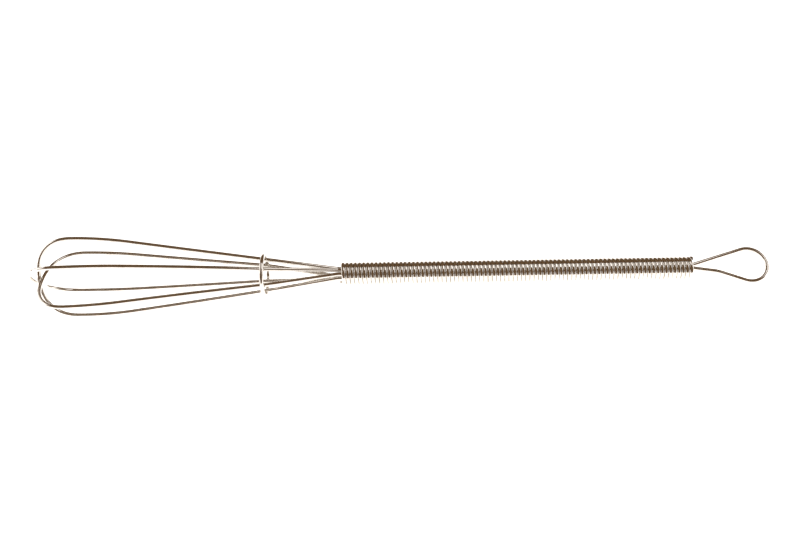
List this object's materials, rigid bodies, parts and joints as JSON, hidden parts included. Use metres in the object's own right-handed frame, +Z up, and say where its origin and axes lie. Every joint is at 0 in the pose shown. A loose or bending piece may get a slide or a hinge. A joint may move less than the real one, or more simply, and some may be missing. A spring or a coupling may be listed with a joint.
{
  "type": "balloon whisk",
  "caption": "Small all-wire balloon whisk: crossed wire loops held by a neck hoop, a close-wound coil grip and a wire hanging eye.",
  "frame": {"origin": "on the level surface that the whisk lies on, under the middle of its box", "axes": "+X along the whisk towards the hanging eye, +Z up, +Y across; the whisk lies on two balloon legs and the far end of the coil, its axis tipped 2.3 degrees down towards the eye"},
  "size_m": [0.1802, 0.0202, 0.0178],
  "materials": {
    "plated_wire": "bright plated round steel wire, drawn smooth",
    "plated_coil": "bright plated round steel wire, close wound"
  },
  "bodies": {
    "root": {"balloon_loop_inner": "plated_wire", "balloon_loop_middle": "plated_wire", "balloon_loop_outer": "plated_wire", "retaining_hoop": "plated_wire", "coil_grip": "plated_coil", "hanging_eye": "plated_wire"}
  },
  "joints": []
}
